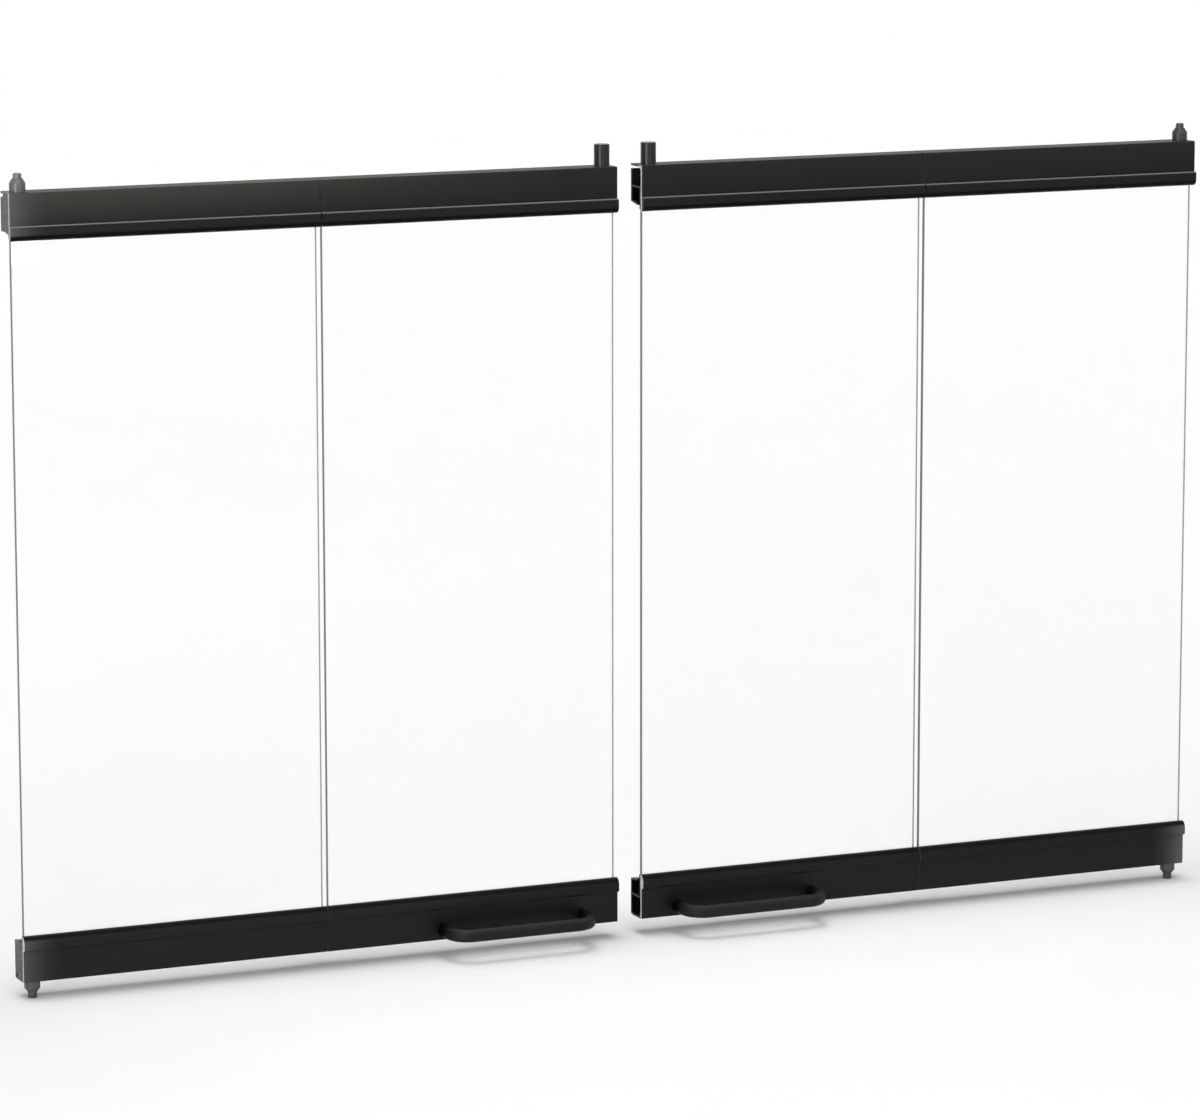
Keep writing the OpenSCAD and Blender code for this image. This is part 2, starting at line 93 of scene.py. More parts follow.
class Edge(Enum):
    """The two edges of a panel that a rail clamps."""

    TOP = "top"
    BOTTOM = "bottom"


class Axis(Enum):
    """The direction in which a piece was drawn, turned or rolled."""

    X = 0
    Y = 1
    Z = 2


@dataclass(frozen=True)
class Band:
    """A stretch of a rail's section: from front to back, and from low to high."""

    depth_mm: tuple[float, float]
    height_mm: tuple[float, float]


@dataclass(frozen=True)
class HighlitEnd:
    """An end of a rail with a painted highlight: its place across, and how strong it is, from 0 to 1.
    """

    across_mm: float
    painted_highlight: float


class NodeGraph:
    """A material's node tree, with short calls that add nodes and link them."""

    def __init__(self, name: str) -> None:
        """Starts an empty material.

        Args:
            name: The material's name.
        """
        self.material = bpy.data.materials.new(name)
        self.material.use_nodes = True
        self.tree = self.material.node_tree
        self.tree.nodes.clear()
        self.output = self.add("ShaderNodeOutputMaterial")
        self.coordinates = self.add("ShaderNodeTexCoord")

    @property
    def place(self) -> bpy.types.NodeSocket:
        """The point's place in the door's own frame, in metres."""
        return self.coordinates.outputs["Object"]

    @property
    def facing(self) -> bpy.types.NodeSocket:
        """The surface's normal in the door's own frame."""
        return self.coordinates.outputs["Normal"]

    def add(self, kind: str, **inputs: object) -> bpy.types.Node:
        """Adds a node.

        Args:
            kind: The node's type name.
            **inputs: A value or an output socket for each named input, with _ for a space.

        Returns:
            The new node.
        """
        node = self.tree.nodes.new(kind)
        for name, value in inputs.items():
            self.feed(node.inputs[name.replace("_", " ")], value)
        return node

    def feed(self, socket: bpy.types.NodeSocket, value: object) -> None:
        """Links an output to an input, or sets the input's value.

        Args:
            socket: The input.
            value: An output socket or a plain value.
        """
        if isinstance(value, bpy.types.NodeSocket):
            self.tree.links.new(value, socket)
        else:
            socket.default_value = value

    def calc(self, operation: str, first: object, second: object = 0.0) -> bpy.types.NodeSocket:
        """Adds a math node.

        Args:
            operation: The math node's operation.
            first: The first number or output.
            second: The second number or output.

        Returns:
            The result's socket.
        """
        node = self.tree.nodes.new("ShaderNodeMath")
        node.operation = operation
        self.feed(node.inputs[0], first)
        self.feed(node.inputs[1], second)
        return node.outputs[0]

    def mean(self, first: object, second: object) -> bpy.types.NodeSocket:
        """The mean of two numbers."""
        return self.calc("MULTIPLY", self.calc("ADD", first, second), 0.5)

    def squared(self, value: object) -> bpy.types.NodeSocket:
        """A number times itself."""
        return self.calc("MULTIPLY", value, value)

    def between(self, value: object, low: float, high: float) -> bpy.types.NodeSocket:
        """1 where a number lies between two limits, and 0 elsewhere."""
        over = self.calc("GREATER_THAN", value, low)
        return self.calc("MULTIPLY", over, self.calc("LESS_THAN", value, high))

    def inside(self, bands: tuple[Band, ...]) -> bpy.types.NodeSocket:
        """1 inside any of some stretches of a rail's section, and 0 elsewhere.

        Args:
            bands: The stretches.

        Returns:
            The result's socket.
        """
        depth = self.part(self.place, Axis.Y)
        height = self.part(self.place, Axis.Z)
        result = None
        for band in bands:
            deep = self.between(depth, *(MM * limit for limit in band.depth_mm))
            high = self.between(height, *(MM * limit for limit in band.height_mm))
            zone = self.calc("MULTIPLY", deep, high)
            result = zone if result is None else self.calc("MAXIMUM", result, zone)
        return result

    def part(self, vector: bpy.types.NodeSocket, axis: Axis) -> bpy.types.NodeSocket:
        """One component of a vector."""
        return self.add("ShaderNodeSeparateXYZ", Vector=vector).outputs[axis.value]

    def stretched(self, scale: Triple) -> bpy.types.NodeSocket:
        """The place, scaled by pattern repeats per metre along X, Y and Z."""
        return self.add("ShaderNodeMapping", Vector=self.place, Scale=scale).outputs[0]

    def noise(self, scale: Triple, detail: float = 3.0) -> bpy.types.NodeSocket:
        """Cloudy noise between 0 and 1: its repeats per metre, and how many finer layers it has."""
        node = self.add("ShaderNodeTexNoise", Vector=self.stretched(scale), Scale=1.0, Detail=detail)
        return node.outputs[0]

    def spread(
        self, value: object, low: float, high: float, start: float = NOISE_LOW, end: float = NOISE_HIGH
    ) -> bpy.types.NodeSocket:
        """Maps a value onto a range of results.

        Args:
            value: The number to map.
            low: The result at the start.
            high: The result at the end.
            start: The value that gives low.
            end: The value that gives high.

        Returns:
            The result's socket.
        """
        node = self.add("ShaderNodeMapRange", Value=value)
        node.inputs["From Min"].default_value = start
        node.inputs["From Max"].default_value = end
        node.inputs["To Min"].default_value = low
        node.inputs["To Max"].default_value = high
        return node.outputs[0]

    def blend(self, share: object, first: object, second: object) -> bpy.types.NodeSocket:
        """Mixes two colours.

        Args:
            share: How much of the second colour shows.
            first: The first colour or output.
            second: The second colour or output.

        Returns:
            The mixed colour's socket.
        """
        node = self.tree.nodes.new("ShaderNodeMix")
        node.data_type = "RGBA"
        self.feed(node.inputs[MIX_SHARE], share)
        for index, value in zip(MIX_COLOURS, (first, second)):
            self.feed(node.inputs[index], (*value, 1.0) if isinstance(value, tuple) else value)
        return node.outputs[MIX_RESULT]

    def relief(self, height: object, depth: float, strength: float) -> bpy.types.NodeSocket:
        """A surface normal roughened by a height between 0 and 1, with the relief's depth in metres."""
        node = self.add("ShaderNodeBump", Height=height, Distance=depth, Strength=strength)
        return node.outputs[0]

    def surface(self, **inputs: object) -> bpy.types.Node:
        """Adds the main shader and links it to the output.

        Args:
            **inputs: Values or outputs for its inputs.

        Returns:
            The shader node.
        """
        shader = self.add("ShaderNodeBsdfPrincipled", **inputs)
        self.tree.links.new(shader.outputs[0], self.output.inputs["Surface"])
        return shader


@dataclass(frozen=True)
class RailCoat:
    """Satin black coat on an aluminium extrusion that was sawn to length after it was coated.

    Parts of the sawn ends show bare metal, except where two rails meet at a fold. The bead's nose,
    beside the glass, is painted darker and duller than the faces: painted shade. The outer ends carry
    a painted highlight, a lighter patch that fades fast. On a head rail the bead's upward ridge carries
    a painted highlight line, the faces are painted lighter towards the top and on the left, a painted
    sheen, and the top face has a warm tone, partly dust and partly a painted reflection. On a foot
    rail the faces are painted lighter towards the bottom.
    """

    name: str
    gloss: float
    bare_bands: tuple[Band, ...]
    nose: Band
    nose_side: float
    # Where a head rail's bead ridge carries a painted highlight line.
    ridges: tuple[Band, ...]
    # Outer ends that carry a painted highlight.
    highlit_ends: tuple[HighlitEnd, ...]
    # Lighter tone painted on the faces: a painted sheen towards the top and left of a head rail, and
    # towards the bottom of a foot rail.
    dust_and_sheen: Colour
    grade_height_mm: tuple[float, float]
    grade_fade_mm: tuple[float, float] = (-280.0, -50.0)
    grade_beyond_fade: float = 0.25
    # Warm tone on a head rail's top face: partly dust, partly a painted reflection.
    top_dust_and_reflection: Colour = (0.029, 0.024, 0.0185)
    top_face_over_mm: float = 556.0
    top_face_roughness: float = 0.5
    colour: Colour = (0.0050, 0.0046, 0.0042)
    worn: Colour = (0.0073, 0.0068, 0.0061)
    roughness: tuple[float, float] = (0.28, 0.36)
    # Painted highlight at the outer ends: its colour, reach and falloff.
    end_highlight: Colour = (0.0905, 0.0905, 0.0892)
    end_highlight_reach_mm: float = 30.0
    end_highlight_falloff: float = 2.0
    # Painted highlight along the head rail's upward ridge: its colour, and the tilts it spans.
    painted_highlight: Colour = (0.19, 0.188, 0.184)
    ridge_highlight_tilt: tuple[float, float] = (0.58, 0.82)
    # Painted shade on the bead's nose: darker, partly metallic and rough, to take out its gloss.
    nose_shade: Colour = (0.003, 0.0028, 0.0027)
    nose_shade_tilt: tuple[float, float] = (0.08, 0.35)
    nose_shade_metal: float = 0.75
    nose_shade_roughness: float = 0.5
    bare: Colour = (0.6, 0.6, 0.59)
    shaded: Colour = (0.4, 0.4, 0.395)
    bare_roughness: tuple[float, float] = (0.32, 0.5)
    end_facing: float = 0.9
    fold_bare: float = 0.22
    fold_x: float = 233.25 * MM
    fold_margin: float = 2.0 * MM
    die_lines: Triple = (1.2, 620.0, 620.0)
    peel: Triple = (1150.0, 1150.0, 1150.0)
    clouds: Triple = (5.0, 30.0, 30.0)
    saw_marks: Triple = (60.0, 260.0, 1900.0)
    line_share: float = 0.4
    streak_range: tuple[float, float] = (0.5, 0.9)
    depth: float = 0.035 * MM
    relief_strength: float = 0.5

    def bare_share(self, graph: NodeGraph) -> bpy.types.NodeSocket:
        """How bare the metal is: all of it on a sawn end, less where two ends meet at a fold.

        Args:
            graph: The material's nodes.

        Returns:
            The share's socket.
        """
        facing = graph.calc("ABSOLUTE", graph.part(graph.facing, Axis.X))
        is_end = graph.calc("GREATER_THAN", facing, self.end_facing)
        reach = graph.calc("ABSOLUTE", graph.part(graph.place, Axis.X))
        from_fold = graph.calc("ABSOLUTE", graph.calc("SUBTRACT", reach, self.fold_x))
        is_free = graph.calc("GREATER_THAN", from_fold, self.fold_margin)
        bareness = graph.calc("MAXIMUM", is_free, self.fold_bare)
        bare_end = graph.calc("MULTIPLY", is_end, bareness)
        return graph.calc("MULTIPLY", bare_end, graph.inside(self.bare_bands))

    def ridge_highlight_share(self, graph: NodeGraph) -> bpy.types.NodeSocket:
        """How strong the painted highlight is: most where the bead's ridge turns upwards."""
        tilt = graph.spread(graph.part(graph.facing, Axis.Z), 0.0, 1.0, *self.ridge_highlight_tilt)
        return graph.calc("MULTIPLY", tilt, graph.inside(self.ridges))

    def nose_shade_share(self, graph: NodeGraph) -> bpy.types.NodeSocket:
        """How much painted shade darkens and dulls the coat: most where the bead's nose turns towards
        the glass.

        Args:
            graph: The material's nodes.

        Returns:
            The share's socket.
        """
        towards_glass = graph.calc("MULTIPLY", graph.part(graph.facing, Axis.Z), self.nose_side)
        tilt = graph.spread(towards_glass, 0.0, 1.0, *self.nose_shade_tilt)
        return graph.calc("MULTIPLY", tilt, graph.inside((self.nose,)))

    def grade_share(self, graph: NodeGraph) -> bpy.types.NodeSocket:
        """How much lighter a face is painted: towards the top of a head rail, a painted sheen, and
        towards the bottom of a foot rail, more on the left on both.

        Args:
            graph: The material's nodes.

        Returns:
            The share's socket.
        """
        low, high = (MM * limit for limit in self.grade_height_mm)
        rise = graph.spread(graph.part(graph.place, Axis.Z), 0.0, 1.0, low, high)
        start, end = (MM * limit for limit in self.grade_fade_mm)
        fade = graph.spread(graph.part(graph.place, Axis.X), 1.0, self.grade_beyond_fade, start, end)
        return graph.calc("MULTIPLY", rise, fade)

    def end_highlight_share(self, graph: NodeGraph) -> bpy.types.NodeSocket:
        """How strong the painted highlight at the outer ends is: most at each end, and fading fast.

        Args:
            graph: The material's nodes.

        Returns:
            The share's socket.
        """
        across = graph.part(graph.place, Axis.X)
        result = None
        for end in self.highlit_ends:
            away = graph.calc("ABSOLUTE", graph.calc("SUBTRACT", across, MM * end.across_mm))
            near = graph.spread(away, 1.0, 0.0, 0.0, MM * self.end_highlight_reach_mm)
            fading = graph.calc("POWER", near, self.end_highlight_falloff)
            share = graph.calc("MULTIPLY", fading, end.painted_highlight)
            result = share if result is None else graph.calc("MAXIMUM", result, share)
        return result

    def top_face_share(self, graph: NodeGraph) -> bpy.types.NodeSocket:
        """1 on the top face of a head rail, which has dust and a painted reflection, and 0 elsewhere.

        Args:
            graph: The material's nodes.

        Returns:
            The share's socket.
        """
        is_up = graph.calc("GREATER_THAN", graph.part(graph.facing, Axis.Z), self.end_facing)
        height = graph.part(graph.place, Axis.Z)
        is_high = graph.calc("GREATER_THAN", height, MM * self.top_face_over_mm)
        return graph.calc("MULTIPLY", is_up, is_high)

    def build(self) -> bpy.types.Material:
        """Makes the material.

        Returns:
            The material.
        """
        graph = NodeGraph(self.name)
        clouds = graph.noise(self.clouds)
        lines = graph.noise(self.die_lines, detail=2.0)
        marks = graph.noise(self.saw_marks, detail=2.0)
        bare = self.bare_share(graph)
        nose_shade = self.nose_shade_share(graph)
        top_dust_and_reflection = self.top_face_share(graph)
        coat = graph.blend(graph.spread(clouds, 0.0, 1.0), self.colour, self.worn)
        # Faces painted lighter: painted sheen on a head rail, lighter towards the bottom on a foot
        # rail.
        coat = graph.blend(self.grade_share(graph), coat, self.dust_and_sheen)
        # Painted highlight at the outer ends.
        coat = graph.blend(self.end_highlight_share(graph), coat, self.end_highlight)
        # Warm top face: partly dust, partly a painted reflection.
        coat = graph.blend(top_dust_and_reflection, coat, self.top_dust_and_reflection)
        # Painted highlight line along the head rail's ridge.
        if self.ridges:
            coat = graph.blend(self.ridge_highlight_share(graph), coat, self.painted_highlight)
        # Painted shade on the bead's nose.
        coat = graph.blend(nose_shade, coat, self.nose_shade)
        streaks = graph.calc("ADD", clouds, graph.calc("MULTIPLY", lines, self.line_share))
        coat_rough = graph.spread(streaks, *self.roughness, *self.streak_range)
        for share, rough in ((nose_shade, self.nose_shade_roughness), (top_dust_and_reflection, self.top_face_roughness)):
            coat_rough = graph.calc("MAXIMUM", coat_rough, graph.calc("MULTIPLY", share, rough))
        bare_rough = graph.spread(marks, *self.bare_roughness)
        rough_gap = graph.calc("SUBTRACT", bare_rough, coat_rough)
        roughness = graph.calc("ADD", coat_rough, graph.calc("MULTIPLY", bare, rough_gap))
        sawn = graph.blend(graph.spread(marks, 0.0, 1.0), self.bare, self.shaded)
        peel = graph.calc("ADD", graph.noise(self.peel, detail=1.0), lines)
        graph.surface(
            Base_Color=graph.blend(bare, coat, sawn),
            Metallic=graph.calc("MAXIMUM", bare, graph.calc("MULTIPLY", nose_shade, self.nose_shade_metal)),
            Roughness=roughness,
            Specular_IOR_Level=self.gloss,
            Normal=graph.relief(peel, self.depth, self.relief_strength),
        )
        return graph.material


HEAD_COAT = RailCoat(
    name="satin_black_head_rail",
    gloss=0.14,
    bare_bands=(Band((-8.1, -5.9), (500.0, 600.0)), Band((-5.9, -2.5), (553.0, 600.0))),
    nose=Band((-12.0, -4.0), (525.0, 530.6)),
    nose_side=-1.0,
    ridges=(Band((-12.0, -8.05), (533.9, 536.5)),),
    highlit_ends=(HighlitEnd(-457.0, 0.78),),
    dust_and_sheen=(0.037, 0.0343, 0.0305),
    grade_height_mm=(534.0, 560.0),
)
FOOT_COAT = RailCoat(
    name="satin_black_foot_rail",
    gloss=0.16,
    bare_bands=(Band((-8.1, -5.9), (0.0, 100.0)), Band((-12.0, -8.15), (0.0, 100.0))),
    nose=Band((-12.0, -4.0), (40.4, 46.0)),
    nose_side=1.0,
    ridges=(),
    highlit_ends=(HighlitEnd(-457.0, 0.62), HighlitEnd(457.0, 1.0)),
    dust_and_sheen=(0.0077, 0.0064, 0.0069),
    grade_height_mm=(36.0, 10.0),
    colour=(0.0054, 0.0042, 0.005),
    worn=(0.0077, 0.0064, 0.0069),
    nose_shade_tilt=(0.2, 0.6),
)


@dataclass(frozen=True)
class ClearGlass:
    """Clear tempered glass with faint handling haze, and ground side edges painted dark grey and partly
    metallic: painted shade for the dark look of a pane's edges.
    """

    name: str = "clear_tempered_glass"
    colour: Colour = (0.9845, 0.987, 0.9855)
    # Dark ground edges: painted shade for how a pane's edges look.
    ground_edge_shade: Colour = (0.13, 0.15, 0.145)
    ground_roughness: float = 0.55
    edge_shade_metal: float = 0.7
    side_facing: float = 0.5
    cast: Colour = (0.95, 0.96, 0.955)
    refraction: float = 1.5
    haze: Triple = (6.0, 6.0, 9.0)
    haze_range: tuple[float, float] = (0.5, 0.8)
    haze_roughness: float = 0.012
    waves: Triple = (4.0, 4.0, 1.5)
    depth: float = 0.02 * MM
    relief_strength: float = 0.2

    def build(self) -> bpy.types.Material:
        """Makes the material.

        Returns:
            The material.
        """
        graph = NodeGraph(self.name)
        haze = graph.spread(graph.noise(self.haze), 0.0, self.haze_roughness, *self.haze_range)
        facing = graph.calc("ABSOLUTE", graph.part(graph.facing, Axis.X))
        side = graph.calc("GREATER_THAN", facing, self.side_facing)
        waves = graph.noise(self.waves, detail=0.0)
        pane = graph.surface(
            Base_Color=graph.blend(side, self.colour, self.ground_edge_shade),
            Metallic=graph.calc("MULTIPLY", side, self.edge_shade_metal),
            Roughness=graph.calc("MAXIMUM", haze, graph.calc("MULTIPLY", side, self.ground_roughness)),
            Transmission_Weight=1.0,
            IOR=self.refraction,
            Normal=graph.relief(waves, self.depth, self.relief_strength),
        )
        through = graph.add("ShaderNodeBsdfTransparent", Color=(*self.cast, 1.0))
        choice = graph.add("ShaderNodeMixShader")
        ray = graph.add("ShaderNodeLightPath")
        graph.feed(choice.inputs[0], ray.outputs["Is Shadow Ray"])
        graph.feed(choice.inputs[1], pane.outputs[0])
        graph.feed(choice.inputs[2], through.outputs[0])
        graph.feed(graph.output.inputs["Surface"], choice.outputs[0])
        return graph.material


@dataclass(frozen=True)
class Rubber:
    """Extruded black silicone rubber: dull, with a fine skin."""

    name: str = "black_silicone_rubber"
    colour: Colour = (0.006, 0.006, 0.0065)
    dust_and_sheen: Colour = (0.012, 0.012, 0.0115)
    roughness: tuple[float, float] = (0.62, 0.8)
    clouds: Triple = (90.0, 90.0, 90.0)
    gloss: float = 0.2
    skin: Triple = (500.0, 2600.0, 2600.0)
    depth: float = 0.05 * MM
    relief_strength: float = 0.5

    def build(self) -> bpy.types.Material:
        """Makes the material.

        Returns:
            The material.
        """
        graph = NodeGraph(self.name)
        clouds = graph.noise(self.clouds)
        graph.surface(
            Base_Color=graph.blend(graph.spread(clouds, 0.0, 1.0), self.colour, self.dust_and_sheen),
            Roughness=graph.spread(clouds, *self.roughness),
            Specular_IOR_Level=self.gloss,
            Normal=graph.relief(graph.noise(self.skin), self.depth, self.relief_strength),
        )
        return graph.material


@dataclass(frozen=True)
class TurnedMetal:
    """A lathe-turned or drawn metal piece, with fine rings or lines across its axis."""

    name: str
    colour: Colour
    shade: Colour
    roughness: tuple[float, float]
    metallic: float
    gloss: float = 0.5
    axis: Axis = Axis.Z
    rings: float = 2400.0
    along: float = 30.0
    clouds: float = 160.0
    mixed_range: tuple[float, float] = (0.4, 0.6)
    depth: float = 0.03 * MM
    relief_strength: float = 0.4

    def ring_scale(self) -> Triple:
        """Pattern repeats per metre: many along the piece's axis, and few round it."""
        return tuple(self.rings if axis is self.axis else self.along for axis in Axis)

    def tone(self, graph: NodeGraph, mixed: bpy.types.NodeSocket) -> bpy.types.NodeSocket:
        """The metal's colour, which varies with its rings and their clouds."""
        return graph.blend(graph.spread(mixed, 0.0, 1.0, *self.mixed_range), self.colour, self.shade)

    def build(self) -> bpy.types.Material:
        """Makes the material.

        Returns:
            The material.
        """
        graph = NodeGraph(self.name)
        rings = graph.noise(self.ring_scale(), detail=2.0)
        mixed = graph.mean(rings, graph.noise((self.clouds,) * 3))
        graph.surface(
            Base_Color=self.tone(graph, mixed),
            Metallic=self.metallic,
            Roughness=graph.spread(mixed, *self.roughness, *self.mixed_range),
            Specular_IOR_Level=self.gloss,
            Normal=graph.relief(rings, self.depth, self.relief_strength),
        )
        return graph.material


@dataclass(frozen=True)
class SleeveMetal(TurnedMetal):
    """A pivot sleeve's metal, with the plate that closes the rail's end left darker."""

    plate: Colour = (0.015, 0.015, 0.0155)
    plate_facing: float = 0.9
    plate_height_mm: tuple[float, float] = (12.6, 558.4)

    def tone(self, graph: NodeGraph, mixed: bpy.types.NodeSocket) -> bpy.types.NodeSocket:
        """The metal's colour: darker on the plate's outer face.

        Args:
            graph: The material's nodes.
            mixed: The rings and their clouds, between 0 and 1.

        Returns:
            The colour's socket.
        """
        facing = graph.calc("ABSOLUTE", graph.part(graph.facing, Axis.X))
        is_flat = graph.calc("GREATER_THAN", facing, self.plate_facing)
        height = graph.part(graph.place, Axis.Z)
        is_inside = graph.between(height, *(MM * limit for limit in self.plate_height_mm))
        share = graph.calc("MULTIPLY", is_flat, is_inside)
        return graph.blend(share, super().tone(graph, mixed), self.plate)


@dataclass(frozen=True)
class PowderCoat:
    """A baked coat with a fine texture, on formed rod or sheet."""

    name: str
    colour: Colour
    raised: Colour
    roughness: tuple[float, float]
    gloss: float
    grain: float = 1700.0
    grain_range: tuple[float, float] = (0.4, 0.62)
    clouds: float = 22.0
    depth: float = 0.06 * MM
    relief_strength: float = 0.55

    def tone(self, graph: NodeGraph, grain: bpy.types.NodeSocket) -> bpy.types.NodeSocket:
        """The coat's colour: lighter on the raised grain."""
        return graph.blend(graph.spread(grain, 0.0, 1.0, *self.grain_range), self.colour, self.raised)

    def metal(self, graph: NodeGraph) -> object:
        """How metallic the coat is: not at all."""
        return 0.0

    def build(self) -> bpy.types.Material:
        """Makes the material.

        Returns:
            The material.
        """
        graph = NodeGraph(self.name)
        grain = graph.noise((self.grain,) * 3, detail=2.0)
        clouds = graph.noise((self.clouds,) * 3)
        graph.surface(
            Base_Color=self.tone(graph, graph.mean(grain, clouds)),
            Metallic=self.metal(graph),
            Roughness=graph.spread(clouds, *self.roughness),
            Specular_IOR_Level=self.gloss,
            Normal=graph.relief(grain, self.depth, self.relief_strength),
        )
        return graph.material


@dataclass(frozen=True)
class PullCoat(PowderCoat):
    """The handles' coat, with painted shade on the legs: flat black and dull towards the rail."""

    # Painted shade on the handles' legs: nearly black, and partly metallic.
    leg_shade_depth_mm: tuple[float, float] = (-23.5, -15.0)
    leg_shade: Colour = (0.002, 0.002, 0.0021)
    leg_shade_metal: float = 0.75

    def leg_shade_share(self, graph: NodeGraph) -> bpy.types.NodeSocket:
        """1 on the legs, where shade is painted, and 0 on the grip, with a soft change between them."""
        front, back = (MM * limit for limit in self.leg_shade_depth_mm)
        return graph.spread(graph.part(graph.place, Axis.Y), 0.0, 1.0, front, back)

    def tone(self, graph: NodeGraph, grain: bpy.types.NodeSocket) -> bpy.types.NodeSocket:
        """The coat's colour: flat black on the legs, as painted shade."""
        return graph.blend(self.leg_shade_share(graph), super().tone(graph, grain), self.leg_shade)

    def metal(self, graph: NodeGraph) -> object:
        """How metallic the coat is: enough on the legs to keep their painted shade dull."""
        return graph.calc("MULTIPLY", self.leg_shade_share(graph), self.leg_shade_metal)


BLACKENED = SleeveMetal(
    name="black_oxide_turned",
    colour=(0.058, 0.058, 0.06),
    shade=(0.083, 0.082, 0.08),
    roughness=(0.34, 0.46),
    metallic=0.3,
)
# Lit copy of the blackened finish, for the left top sleeve: painted highlight.
LIT_OXIDE = replace(
    BLACKENED,
    name="lit_oxide_turned",
    colour=(0.074, 0.074, 0.075),
    shade=(0.108, 0.107, 0.104),
    plate=(0.032, 0.032, 0.0325),
)
# Shaded copy of the blackened finish, for the right top sleeve: painted shade.
SHADED_OXIDE = replace(
    BLACKENED,
    name="shaded_oxide_turned",
    colour=(0.028, 0.028, 0.029),
    shade=(0.042, 0.0415, 0.04),
    gloss=0.35,
)
PIN_STEEL = TurnedMetal(
    name="dull_turned_steel",
    colour=(0.11, 0.11, 0.113),
    shade=(0.165, 0.162, 0.158),
    roughness=(0.36, 0.5),
    metallic=0.6,
)
DARK_PIN = replace(
    PIN_STEEL,
    name="dark_turned_pin",
    colour=(0.038, 0.038, 0.039),
    shade=(0.057, 0.0565, 0.055),
    metallic=0.3,
)
GUIDE_BLACK = TurnedMetal(
    name="black_guide_sleeve",
    colour=(0.006, 0.006, 0.0064),
    shade=(0.0095, 0.0095, 0.0095),
    roughness=(0.3, 0.38),
    metallic=0.0,
    gloss=0.28,
    rings=1500.0,
)
ZINC_ROUND = TurnedMetal(
    name="bright_zinc_pin",
    colour=(0.62, 0.62, 0.61),
    shade=(0.48, 0.48, 0.47),
    roughness=(0.24, 0.4),
    metallic=1.0,
)
ZINC_SCREW = TurnedMetal(
    name="bright_zinc_screw",
    colour=(0.6, 0.6, 0.585),
    shade=(0.45, 0.45, 0.43),
    roughness=(0.26, 0.42),
    metallic=1.0,
    axis=Axis.Y,
)
SPRING_WIRE = TurnedMetal(
    name="spring_wire",
    colour=(0.5, 0.5, 0.49),
    shade=(0.34, 0.34, 0.33),
    roughness=(0.28, 0.4),
    metallic=1.0,
    rings=600.0,
    along=600.0,
)
HINGE_COAT = PowderCoat(
    name="black_hinge_coat",
    colour=(0.012, 0.012, 0.0125),
    raised=(0.02, 0.02, 0.02),
    roughness=(0.38, 0.5),
    gloss=0.35,
)
PULL_COAT = PullCoat(
    name="matt_black_pull_coat",
    colour=(0.0035, 0.0035, 0.0037),
    raised=(0.006, 0.006, 0.006),
    roughness=(0.42, 0.54),
    gloss=0.2,
    grain=1300.0,
)


def dress(node: str, material: bpy.types.Material) -> None:
    """Gives a carried-over piece its finish.

    Args:
        node: The piece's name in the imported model.
        material: The finish.
    """
    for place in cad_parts[node].material_slots:
        place.material = material
    LOG.info("%s: %s", node, material.name)


@dataclass
class Rails:
    """The eight black extrusions that clamp the glass."""

    head: RailCoat = HEAD_COAT
    foot: RailCoat = FOOT_COAT

    def dress(self) -> None:
        """Coats every rail."""
        coats = {Edge.TOP: self.head.build(), Edge.BOTTOM: self.foot.build()}
        for side in Side:
            for leaf in Leaf:
                for edge, coat in coats.items():
                    dress(f"{side.value}_{leaf.value}_{edge.value}_rail", coat)


@dataclass
class Glazing:
    """The four panes, and the gaskets that hold them in the rails."""

    glass: ClearGlass = field(default_factory=ClearGlass)
    rubber: Rubber = field(default_factory=Rubber)

    def dress(self) -> None:
        """Finishes the panes and their gaskets."""
        clear = self.glass.build()
        rubber = self.rubber.build()
        for side in Side:
            for leaf in Leaf:
                panel = f"{side.value}_{leaf.value}"
                dress(f"{panel}_glass", clear)
                for edge in Edge:
                    dress(f"{panel}_{edge.value}_gasket", rubber)


